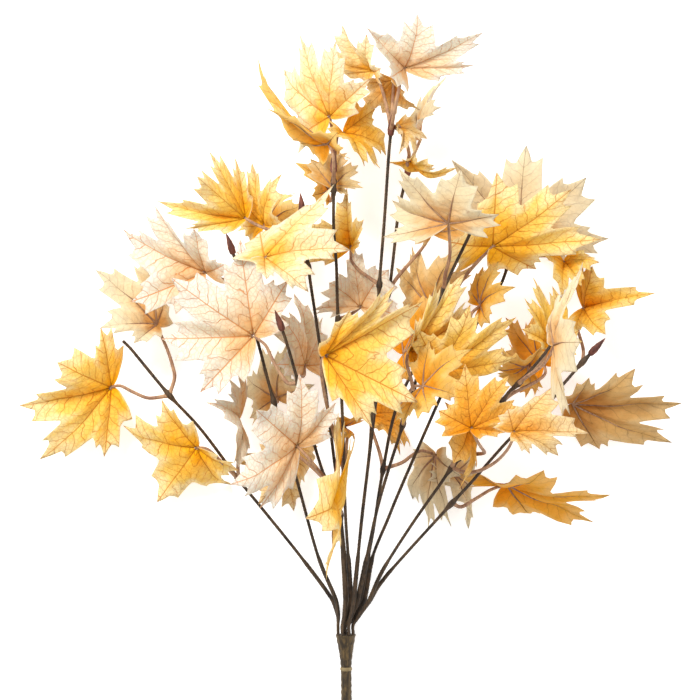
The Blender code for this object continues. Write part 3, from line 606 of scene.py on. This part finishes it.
def printed_cloth(name, field, glow, rim, vein, back):
    """Polyester leaf cloth, printed and heat pressed: a matte face, deep colour at
    the stalk that pales to the edge, veins printed in orange brown on the face and
    only faintly on the back, and light that comes through the thin cloth."""
    mat, tree = fresh(name)
    vein_uv, edge_uv, blade_uv = (
        node(tree, "ShaderNodeUVMap", {"uv_map": kind}).outputs[0]
        for kind in ("vein", "edge", "blade"))
    solid = node(tree, "ShaderNodeTexCoord").outputs["Object"]
    vein_at = node(tree, "ShaderNodeSeparateXYZ", None, i0=vein_uv).outputs
    edge_at = node(tree, "ShaderNodeSeparateXYZ", None, i0=edge_uv).outputs
    cloud = noise(tree, blade_uv, 3.2, 3.0, 0.55)
    speck = noise(tree, solid, 160.0, 3.0, 0.6)
    drift = sums(tree, "MULTIPLY", sums(tree, "SUBTRACT", cloud, 0.5), 0.8)
    warm = ramp(tree, sums(tree, "ADD", edge_at[1], drift), 0.0, 0.58, 1.0, 0.0)
    pale = ramp(tree, sums(tree, "ADD", edge_at[0], drift), 0.6, 1.0, 0.0, 0.85)
    colour = blend_colour(tree, warm, linear(field), linear(glow))
    colour = blend_colour(tree, pale, colour, linear(rim))
    dark = ramp(tree, speck, 0.45, 0.75, 0.0, 0.09)
    colour = blend_colour(tree, dark, colour, linear(vein))
    # main veins taper from the stalk to the tip; side veins leave them at 45 degrees
    wide = 0.018 if back else 0.0085
    reach_out = 0.7 if back else 1.4
    width = ramp(tree, vein_at[0], 0.0, reach_out, wide, 0.0022)
    main = sums(tree, "SUBTRACT", 1.0, sums(tree, "DIVIDE", vein_at[1], width))
    main = ramp(tree, main, 0.0, 0.55, 0.0, 0.8)
    wave = noise(tree, blade_uv, 7.0, 2.0)
    along = sums(tree, "SUBTRACT", vein_at[0], sums(tree, "MULTIPLY", vein_at[1], 0.95))
    along = sums(tree, "ADD", along, sums(tree, "MULTIPLY", wave, 0.16))
    stripe = sums(tree, "PINGPONG", along, 0.062)
    side_vein = ramp(tree, stripe, 0.0, 0.0066, 0.35 if back else 0.85, 0.0)
    side_fade = ramp(tree, vein_at[1], 0.02, 0.3, 1.0, 0.25)
    side_vein = sums(tree, "MULTIPLY", side_vein, side_fade)
    net = node(tree, "ShaderNodeTexVoronoi", {"feature": "DISTANCE_TO_EDGE"},
               Vector=blade_uv, Scale=20.0).outputs["Distance"]
    net = ramp(tree, net, 0.0, 0.1, 0.08 if back else 0.24, 0.0)
    lines = sums(tree, "MAXIMUM", sums(tree, "MAXIMUM", main, side_vein), net)
    colour = blend_colour(tree, lines, colour, linear(vein))
    # weave of 0.3 mm threads, drawn at 0.8 mm so that it shows, and pressed veins
    weave = noise(tree, solid, 900.0, 1.0)
    crumple = noise(tree, blade_uv, 9.0, 3.0)
    level = sums(tree, "ADD", sums(tree, "MULTIPLY", lines, 0.9 if back else -1.3),
                 sums(tree, "MULTIPLY", weave, 0.12))
    level = sums(tree, "ADD", level, sums(tree, "MULTIPLY", crumple, 2.4))
    bump = node(tree, "ShaderNodeBump", None, Strength=0.7, Distance=0.0009,
                Height=level).outputs[0]
    cloth = node(tree, "ShaderNodeBsdfPrincipled", None, Base_Color=colour, Roughness=0.72,
                 Normal=bump, Specular_IOR_Level=0.2).outputs[0]
    through = node(tree, "ShaderNodeBsdfTranslucent", None, Color=colour,
                   Normal=bump).outputs[0]
    both = node(tree, "ShaderNodeMixShader", None, i0=0.28, i1=cloth, i2=through).outputs[0]
    node(tree, "ShaderNodeOutputMaterial", None, Surface=both)
    return mat


def moulded_bark(name, dark, ridge_highlight_and_scuff, ridge):
    """Polyethylene moulded over wire: matte, with fine grooves along it that catch
    a soft light, painted into the colour as a painted highlight on their ridges and painted
    shade in their hollows, and lighter scuffs."""
    mat, tree = fresh(name)
    solid = node(tree, "ShaderNodeTexCoord").outputs["Object"]
    long = node(tree, "ShaderNodeMapping", None, Vector=solid,
                Scale=(1.0, 0.12, 1.0)).outputs[0]
    groove = noise(tree, long, ridge, 4.0, 0.65)
    patch = noise(tree, solid, 90.0, 3.0)
    # groove part: painted highlight on the ridges and painted shade in the grooves; patch
    # part: real lighter scuffs
    share = ramp(tree, sums(tree, "ADD", sums(tree, "MULTIPLY", groove, 0.6),
                            sums(tree, "MULTIPLY", patch, 0.4)), 0.38, 0.64, 0.0, 1.0)
    colour = blend_colour(tree, share, linear(dark), linear(ridge_highlight_and_scuff))
    bump = node(tree, "ShaderNodeBump", None, Strength=0.7, Distance=0.0006,
                Height=groove).outputs[0]
    shader = node(tree, "ShaderNodeBsdfPrincipled", None, Base_Color=colour,
                  Roughness=0.62, Specular_IOR_Level=0.35, Normal=bump).outputs[0]
    node(tree, "ShaderNodeOutputMaterial", None, Surface=shader)
    return mat


# face of the cloth: field, glow at the stalk, edge, veins
FACES = {
    "cream": ("#F4ECD4", "#F3C98C", "#EEEADF", "#EE9648"),
    "butter": ("#F9E8B0", "#FCC640", "#F9F0D0", "#EA962E"),
    "gold": ("#FAD76C", "#FFBC06", "#FAEAB4", "#DE7E14"),
    "honey": ("#F7CB54", "#F9AC06", "#F8E096", "#CC6E10"),
    "amber": ("#F0B444", "#F09A06", "#F2CE7E", "#B86010"),
    "tan": ("#F0CC84", "#EDA836", "#F1DDB0", "#C07022"),
    "khaki": ("#E0CCA0", "#D0A05C", "#E2D4B2", "#8E6036"),
    "umber": ("#CFA565", "#B27228", "#D6BA80", "#784826"),
}
# back of the cloth: field, glow at the stalk, edge, veins
BACKS = {
    "cream": ("#E9D6AC", "#E2AC62", "#E6DABA", "#8E5A34"),
    "butter": ("#F3DEA8", "#F2B95A", "#F2E6C0", "#9A6634"),
    "gold": ("#F2CD74", "#F2AC20", "#F2DA9C", "#8C5626"),
    "honey": ("#EDB950", "#E8980C", "#EECB7C", "#804A1C"),
    "amber": ("#EFB23C", "#EE9A06", "#EFC476", "#824618"),
    "tan": ("#EBC884", "#E4A440", "#ECD4A2", "#7E502A"),
    "khaki": ("#E8D6AE", "#D8AC6C", "#E8DABA", "#7C5632"),
    "umber": ("#D6AA66", "#BC7A30", "#DCBC86", "#70441E"),
}
# which side of each leaf faces up, and its cloth
DRESS = {
    "leaf_b09_c": ("back", "tan"), "leaf_b10_c": ("back", "khaki"),
    "leaf_b03_b": ("face", "tan"), "leaf_b03_d": ("face", "cream"),
    "leaf_b12_b": ("back", "umber"), "leaf_b08_b": ("face", "amber"),
    "leaf_b08_a": ("back", "khaki"), "leaf_b05_e": ("face", "cream"),
    "leaf_b06_d": ("face", "gold"), "leaf_b05_c": ("back", "honey"),
    "leaf_b05_d": ("back", "tan"), "leaf_b07_c": ("face", "gold"),
    "leaf_b07_a": ("back", "cream"), "leaf_b06_c": ("face", "tan"),
    "leaf_b06_b": ("face", "butter"), "leaf_b05_h": ("face", "honey"),
    "leaf_b12_a": ("back", "amber"), "leaf_b01_d": ("face", "cream"),
    "leaf_b12_c": ("face", "honey"), "leaf_b10_d": ("face", "honey"),
    "leaf_b01_c": ("face", "gold"), "leaf_b01_a": ("face", "gold"),
    "leaf_b01_b": ("back", "cream"), "leaf_b08_c": ("face", "gold"),
    "leaf_b10_b": ("back", "honey"), "leaf_b09_b": ("back", "amber"),
    "leaf_b09_d": ("face", "gold"), "leaf_b10_a": ("face", "honey"),
    "leaf_b09_a": ("back", "honey"), "leaf_b11_d": ("face", "amber"),
    "leaf_b11_b": ("face", "amber"), "leaf_b11_f": ("face", "honey"),
    "leaf_b11_a": ("face", "tan"), "leaf_b11_e": ("back", "cream"),
    "leaf_b05_f": ("face", "butter"), "leaf_b05_g": ("back", "honey"),
    "leaf_b06_a": ("face", "cream"), "leaf_b07_b": ("face", "tan"),
    "leaf_b04_b": ("face", "gold"), "leaf_b04_a": ("face", "gold"),
    "leaf_b02_a": ("face", "cream"), "leaf_b09_e": ("back", "cream"),
    "leaf_b03_c": ("face", "cream"), "leaf_b04_c": ("face", "butter"),
    "leaf_b04_d": ("face", "gold"), "leaf_b03_a": ("face", "cream"),
    "leaf_b05_a": ("face", "gold"),
}
# Small leaves deep between the others: rows as in LEAVES, then the cloth. They
# keep the height given, as they aren't laid on the others.
TUCKED = (
    ("tucked_b02", 2, 0, (-55.5, -9), 20, 55, 0.6, (),
     ((-18, -15, -1), (-23, 16, -1), (-11, 40, -1), (10, 40, 1), (30, 10, 1)), "cream"),
    ("tucked_b11_a", 11, 3, (145.5, 16.5), 24, 57, 0.6, (),
     ((20, 20, 1), (-8, 39, 1), (-25, 37, -1), (-30, 10, -1), (-15, -20, -1)), "amber"),
    ("tucked_b11_b", 11, 3, (133, 16.5), 44, 49, 0.6, (),
     ((10, 15, 1), (-21, 10, 1), (-34, 2, -1), (-21, -6, -1), (5, -15, -1)), "honey"),
    ("tucked_b07", 7, 1, (60, 116), 24, 52, 0.6, (),
     ((-20, -5, 1), (-20, 12, 1), (5, 34, 1), (16, 34, -1), (30, 5, -1)), "tan"),
    ("tucked_b05", 5, 0, (-6, -31), 36, 35, 0.6, (),
     ((9, 9, 1), (-10, 8, 1), (-13, -4, 1), (1, -8, 1), (5, -10, 1)), "amber"),
    ("tucked_b11_c", 11, 0, (76, -67), 14, 56, 0.4, (),
     ((-20, -5, 1), (8, -30, 1), (12, -43, -1), (17, -19, -1), (15, 15, -1)), "khaki"),
    ("tucked_b04", 4, 1, (-62, 121.5), 34, 50, 0.6, (),
     ((-25, 0, -1), (-4, 22, -1), (19, 28, -1), (28, 14, 1), (25, -15, 1)), "gold"),
)

# ====================================================================== leaves
# full half outline of a blade, teeth and all: angle from the centre vein, radius
EDGE = ((0, 1.0), (2.5, 0.92), (5, 0.84), (8, 0.84), (11.5, 0.885), (14, 0.77), (17, 0.67),
        (20, 0.6), (23, 0.61), (26.5, 0.73), (29.5, 0.83), (32.5, 0.78), (36, 0.8),
        (39, 0.88), (42, 0.99), (45, 0.88), (48, 0.8), (51.5, 0.81), (55, 0.85),
        (58, 0.7), (61, 0.58), (64, 0.535), (68, 0.57), (71.5, 0.63), (74, 0.585),
        (77, 0.6), (80, 0.65), (83, 0.72), (86, 0.635), (89, 0.585), (92.5, 0.595),
        (96, 0.625), (98.5, 0.5), (101, 0.41), (107, 0.38), (114, 0.4), (120, 0.42),
        (127, 0.29), (135, 0.18), (149, 0.1), (165, 0.05))
ROWS = (0.04, 0.12, 0.22, 0.33, 0.44, 0.55, 0.66, 0.76, 0.85, 0.93, 1.0)
CLOTH_T = 0.35         # thickness of the leaf cloth
TABLE_GAP = 0.3        # a blade that reaches the table lies flat on it
LOBE_TURN = 42         # degrees from one main vein to the next
BULGE = 0.048          # swell of the cloth between veins, in leaf lengths
LONG_RIPPLE = 0.055    # ripples of the edge, in leaf lengths
SHORT_RIPPLE = 0.024
CROSS_RIPPLE = 0.012   # waves across the blade, in leaf lengths
CURL = 0.11            # curl of a lobe's outer half, in leaf lengths
STALK_FOOT_R = 1.5     # radius of a stalk where it leaves the knuckle
STALK_TAPER = 0.4      # how much thinner it is at the blade
STALK_COLLAR = 0.4     # how much its first two points are swollen
RIBS = ((0, 0.66), (-42, 0.62), (42, 0.62), (-83, 0.42), (83, 0.42))
RIB_STEPS = 14
RIB_R = 0.78           # taper of a rib's radius from the stalk to its end
RIB_END_R = 0.1
ROUND_STALK = 3        # bevel steps of round sections
ROUND_BRANCH = 4
ROUND_STEM = 8


def edge_radius(angle, number):
    """Radius of the blade's edge; each leaf is stamped and worn a little differently."""
    turn = abs(angle)
    wear = 0.97 + 0.03 * math.sin(math.radians(angle) * 5.3 + 2.9 * number)
    for (a0, r0), (a1, r1) in zip(EDGE, EDGE[1:]):
        if turn <= a1:
            return (r0 + (r1 - r0) * (turn - a0) / (a1 - a0)) * wear
    return EDGE[-1][1]


def surface(row, number):
    """The blade's curved sheet as a function of angle and radius, in millimetres."""
    tips = vein_tips(row)
    up = facing(tips)
    side = 1 if up[2] > 0 else -1
    phase = 1.7 * number
    size = row[5]

    def at(angle, r):
        near = min(abs(angle - v) for v, share in VEINS)
        turn = math.radians(angle)
        bulge = BULGE * size * math.sin(min(1.0, near / (LOBE_TURN / 2)) * math.pi / 2) ** 1.3
        bulge *= math.sin(math.pi * min(1.0, r * 1.15))
        ripple = LONG_RIPPLE * size * r * r * math.sin(turn * 6.5 + phase)
        ripple += SHORT_RIPPLE * size * r * r * math.sin(turn * 14 + 2.3 * phase)
        cross = math.sin(r * 13 + turn * 3 + phase)
        ripple += CROSS_RIPPLE * size * cross * min(1.0, 2 * r)
        lobe = round(angle / LOBE_TURN)
        outer = max(0.0, r - 0.5) ** 2 / 0.25
        curl = -CURL * size * outer * math.sin(phase * 3.1 + lobe * 2.2)
        lift = side * (ARCH * 4 * r * (1 - r)) + side * bulge + ripple + curl
        return reach(tips, angle) * r + up * lift
    return at, up


def leaf_cloth(name, row, number, z, looks_up, cloth):
    """One blade: a polar net drawn out from the stalk, then given its thickness."""
    at, up = surface(row, number)
    turns = [-a for a, r in EDGE[:0:-1]] + [a for a, r in EDGE]
    base = np.array((row[3][0], row[3][1], z)) + np.array(CENTRE)
    bm = bmesh.new()
    bmesh.ops.create_grid(bm, x_segments=len(turns) - 1, y_segments=len(ROWS) - 1, size=1.0)
    vein_map = bm.loops.layers.uv.new("vein")
    edge_map = bm.loops.layers.uv.new("edge")
    blade_map = bm.loops.layers.uv.new("blade")
    place_of = {}
    for v in bm.verts:
        i = round((v.co.x + 1) / 2 * (len(turns) - 1))
        j = round((v.co.y + 1) / 2 * (len(ROWS) - 1))
        place_of[v] = (turns[i], ROWS[j])
    for v, (angle, share) in place_of.items():
        v.co = Vector((base + at(angle, edge_radius(angle, number) * share)) * MM)
        v.co.z = max(v.co.z, TABLE_GAP * MM)
    for face in bm.faces:
        for loop in face.loops:
            angle, share = place_of[loop.vert]
            r = edge_radius(angle, number) * share
            off = math.radians(min(abs(angle - v) for v, s in VEINS))
            turn = math.radians(angle)
            loop[vein_map].uv = (r * math.cos(off), r * math.sin(off))
            loop[edge_map].uv = (share, r)
            loop[blade_map].uv = (r * math.sin(turn) + number, r * math.cos(turn) + number)
    bm.normal_update()
    total = sum((f.normal * f.calc_area() for f in bm.faces), Vector())
    wanted = 1 if looks_up == "face" else -1
    upward = Vector(up if up[2] > 0 else -up)
    if total.dot(upward) * wanted < 0:
        bmesh.ops.reverse_faces(bm, faces=bm.faces[:])
    mesh = bpy.data.meshes.new(name)
    bm.to_mesh(mesh)
    bm.free()
    mesh.polygons.foreach_set("use_smooth", [True] * len(mesh.polygons))
    obj = bpy.data.objects.new(name, mesh)
    bpy.context.scene.collection.objects.link(obj)
    mesh.materials.append(FACE_MATS[cloth])
    mesh.materials.append(BACK_MATS[cloth])
    mesh.materials.append(BACK_MATS[cloth])
    shell = obj.modifiers.new("cloth_thickness", "SOLIDIFY")
    shell.thickness = CLOTH_T * MM
    shell.offset = 0.0
    shell.use_rim = True
    shell.material_offset = 1
    shell.material_offset_rim = 1
    return obj


def tube_curve(name, lines, mat, steps):
    """Round tubes along lines of (point, radius), all in one object."""
    curve = bpy.data.curves.new(name, "CURVE")
    curve.dimensions = "3D"
    curve.bevel_depth = 1.0
    curve.bevel_resolution = steps
    curve.use_fill_caps = True
    for line in lines:
        spline = curve.splines.new("POLY")
        spline.points.add(len(line) - 1)
        for point, (p, radius) in zip(spline.points, line):
            q = (np.array(p) + np.array(CENTRE)) * MM
            point.co = (q[0], q[1], q[2], 1.0)
            point.radius = radius * MM
        spline.use_smooth = True
    curve.materials.append(mat)
    obj = bpy.data.objects.new(name, curve)
    bpy.context.scene.collection.objects.link(obj)
    return obj


def as_mesh(obj):
    """The same piece as a mesh."""
    graph = bpy.context.evaluated_depsgraph_get()
    mesh = bpy.data.meshes.new_from_object(obj.evaluated_get(graph))
    name = obj.name
    old = obj.data
    new = bpy.data.objects.new(name + "_m", mesh)
    bpy.context.scene.collection.objects.link(new)
    bpy.data.objects.remove(obj)
    bpy.data.curves.remove(old)
    new.name = name
    mesh.name = name
    return new


def leaf_stalk(name, row, number, z, looks_up, way):
    """The stalk from knuckle to blade, and the moulded ribs it spreads into."""
    at, up = surface(row, number)
    base = np.array((row[3][0], row[3][1], z))
    upward = up if up[2] > 0 else -up
    back = -upward if looks_up == "face" else upward
    fine = smooth_route(way[::-1], 2.0)
    count = len(fine)
    stalk = []
    for k, p in enumerate(fine):
        share = k / max(1, count - 1)
        collar = STALK_COLLAR if k < 2 else 0.0
        stalk.append((p, STALK_FOOT_R - STALK_TAPER * share + collar))
    lines = [stalk]
    for angle, length in RIBS:
        line = []
        for k in range(RIB_STEPS + 1):
            share = k / RIB_STEPS
            thick = RIB_R * (1 - share) + RIB_END_R
            p = base + at(angle, max(0.012, share * length))
            line.append((p + back * (thick * 0.85 + CLOTH_T / 2), thick))
        lines.append(line)
    return as_mesh(tube_curve(name, lines, STALK_MAT, ROUND_STALK))


# ==================================================================== build it
heights, lifts = lay_up()
coarse = {row[0]: blade(row, heights[row[0]]) for row in LEAVES}
for number in BRANCHES:
    pts = branch_points(number, lifts)
    coarse[f"branch_{number:02d}"] = tube(pts, branch_radius((number, pts)), 6)
trees = {name: tree_of(*shape) for name, shape in coarse.items()}

FACE_MATS = {k: printed_cloth(f"leaf_cloth_face_{k}", *v, False) for k, v in FACES.items()}
BACK_MATS = {k: printed_cloth(f"leaf_cloth_back_{k}", *v, True) for k, v in BACKS.items()}
STALK_MAT = moulded_bark("moulded_stalk", "#84604A", "#B48E6A", 500.0)
WIRE_MAT = moulded_bark("moulded_branch_bark", "#241A10", "#54402A", 700.0)
STEM_MAT = moulded_bark("moulded_stem_bark", "#2C2214", "#66512F", 500.0)
BUD_MAT = moulded_bark("moulded_bud", "#3E1D16", "#7A4434", 400.0)
BAND_MAT = moulded_bark("stem_band_paper", "#7D6B48", "#B7A67E", 300.0)

for number, row in enumerate(LEAVES):
    name = row[0]
    looks_up, cloth = DRESS[name]
    z = heights[name]
    piece = leaf_cloth(name + "_cloth", row, number, z, looks_up, cloth)
    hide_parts(name)
    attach(piece, "root")
    others = [t for key, t in trees.items() if key != name]
    best, reached = None, -1.0
    for pts in stalk_choices(row, z, lifts):
        share = clear_length(pts, others, STALK_R) / (len(pts) - 1)
        if share > reached + 0.02:
            best, reached = pts, share
        if share > 0.9:
            break
    stalk = leaf_stalk(name + "_stalk", row, number, z, looks_up, best)
    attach(stalk, "root")

TUCKED_SHAPE = 60      # number that the first tucked leaf takes its ripples from
TUCKED_CLEAR = 2.0     # least height of a tucked leaf's edge over the table
for number, row in enumerate(TUCKED, TUCKED_SHAPE):
    name, z, cloth = row[0], row[4], row[9]
    low = min(p[2] for p in outline(row))
    z = max(z, TUCKED_CLEAR - low)
    piece = leaf_cloth(name + "_cloth", row, number, z, "back", cloth)
    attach(piece, "root")
    pts = next(stalk_choices(row, z, lifts))
    stalk = leaf_stalk(name + "_stalk", row, number, z, "back", pts)
    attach(stalk, "root")

# branches: wire with a thick sleeve at the crown, knuckles, and buds at the tips
OUTER_SLEEVE = 0.35    # how much thicker than the wire an outer branch's sleeve is
SLEEVE_START, SLEEVE_END = 8, 66
SLEEVE_EASE = 6        # length over which the sleeve thins to the wire
KNUCKLE_L = 3.4        # half length of a knuckle's swelling
for number in BRANCHES:
    fine = branch_line(number, lifts)
    lengths = [0.0]
    for a, b in zip(fine, fine[1:]):
        lengths.append(lengths[-1] + float(np.linalg.norm(b - a)))
    whole = lengths[-1]
    bud = BUD_L if number in BUDS else 0.0
    sleeve = SLEEVE_R if number in INNER else WIRE_R + OUTER_SLEEVE
    line, tip = [], []
    for p, s in zip(fine, lengths):
        swell = min(1.0, max(0.0, (SLEEVE_END - s) / SLEEVE_EASE))
        swell *= min(1.0, max(0.0, (s - SLEEVE_START) / SLEEVE_START))
        r = WIRE_R + (sleeve - WIRE_R) * swell
        for y in KNUCKLES[number]:
            if s > 20:
                near = math.exp(-((p[1] - y) / KNUCKLE_L) ** 2)
                r = max(r, WIRE_R + (KNUCKLE_R - WIRE_R) * near)
        r *= 1.0 + 0.05 * math.sin(s * 1.9 + number)
        left = whole - s
        if left > bud - 2.0:
            line.append((p, r))
        if bud and left < bud:
            share = left / bud
            full = 2.5 * BUD_R * (1.0 + 0.06 * math.sin(s * 2.6))
            tip.append((p, 0.2 + full * share ** 1.1 * (1.0 - share) ** 0.4))
    piece = as_mesh(tube_curve(f"branch_{number:02d}_wire", [line], WIRE_MAT, ROUND_BRANCH))
    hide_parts(f"branch_{number:02d}")
    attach(piece, "root")
    if tip:
        bud_name = f"branch_{number:02d}_bud"
        bud_piece = as_mesh(tube_curve(bud_name, [tip], BUD_MAT, ROUND_BRANCH))
        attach(bud_piece, "root")

# main stem: rough cylinder, paper band below the fork, swollen crown
STEM_STEPS = 60
FORK_AT = 0.72         # share of the stem's length where it starts to swell
BAND_AT = 0.695        # share of the stem's length where the band starts
BAND_L = 0.03          # length of the band, as a share of the stem's
BAND_STEPS = 6
foot, top = np.array(STEM_FOOT), np.array(CROWN_TOP)
stem = []
for k in range(STEM_STEPS + 1):
    share = k / STEM_STEPS
    r = STEM_R * (1 + 0.035 * math.sin(k * 1.7) + 0.02 * math.sin(k * 4.1))
    r += (CROWN_R + 0.4 - STEM_R) * max(0.0, (share - FORK_AT) / (1 - FORK_AT)) ** 1.4
    if k == 0:
        r = STEM_R - 0.5
    stem.append((foot + (top - foot) * share, r))
piece = as_mesh(tube_curve("main_stem_bark", [stem], STEM_MAT, ROUND_STEM))
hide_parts("main_stem")
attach(piece, "root")
band = []
for k in range(BAND_STEPS + 1):
    share = BAND_AT + BAND_L * k / BAND_STEPS
    r = STEM_R + 0.15 + 0.45 * math.sin(math.pi * k / BAND_STEPS)
    band.append((foot + (top - foot) * share, r))
piece = as_mesh(tube_curve("stem_band", [band], BAND_MAT, ROUND_STEM))
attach(piece, "root")

# ======================================================================= stage
CAMERA_UP = 10.0       # height of the camera over the table, in metres
VIEW_W = 0.525         # width of the view at the middle of the bunch
VIEW_MID = (-0.00068, 0.0274, 0.085)
TABLE_DROP = 0.0005    # the table's top lies this far under the lowest point
TABLE_GLOW = 0.42      # the table's own light, for faint shadows
SKY = 0.76             # strength of the even light from all round
scene = bpy.context.scene

floor_mesh = bpy.data.meshes.new("table")
bm = bmesh.new()
bmesh.ops.create_grid(bm, x_segments=2, y_segments=2, size=4.0)
bm.to_mesh(floor_mesh)
bm.free()
floor = bpy.data.objects.new("table", floor_mesh)
floor.location = (0, 0, -TABLE_DROP)
scene.collection.objects.link(floor)
mat, tree = fresh("white_laminate")
shader = node(tree, "ShaderNodeBsdfPrincipled", None, Base_Color=linear("#FBFBFA"),
              Roughness=0.9, Specular_IOR_Level=0.1, Emission_Color=(1.0, 1.0, 1.0, 1.0),
              Emission_Strength=TABLE_GLOW).outputs[0]
node(tree, "ShaderNodeOutputMaterial", None, Surface=shader)
floor_mesh.materials.append(mat)

world = bpy.data.worlds.new("studio")
scene.world = world
world.use_nodes = True
world.node_tree.nodes["Background"].inputs["Color"].default_value = (1.0, 1.0, 1.0, 1.0)
world.node_tree.nodes["Background"].inputs["Strength"].default_value = SKY


def softbox(name, place, aim, size, power):
    """A square area light aimed at a point; size in metres, power in watts."""
    data = bpy.data.lights.new(name, "AREA")
    data.shape = "SQUARE"
    data.size = size
    data.energy = power
    obj = bpy.data.objects.new(name, data)
    obj.location = place
    way = Vector(aim) - Vector(place)
    obj.rotation_euler = way.to_track_quat("-Z", "Y").to_euler()
    scene.collection.objects.link(obj)


softbox("softbox_over", (-0.9, 1.2, 1.7), (0, 0, 0.1), 0.7, 50.0)
softbox("softbox_side", (1.6, -0.2, 1.2), (0, 0, 0.1), 1.2, 8.0)

camera = bpy.data.cameras.new("camera")
camera.sensor_width = 36.0
camera.lens = 36.0 * (CAMERA_UP - VIEW_MID[2]) / VIEW_W
camera.clip_end = 60.0
eye = bpy.data.objects.new("camera", camera)
eye.location = (VIEW_MID[0], VIEW_MID[1], CAMERA_UP)
scene.collection.objects.link(eye)
scene.camera = eye
scene.view_settings.view_transform = "Standard"
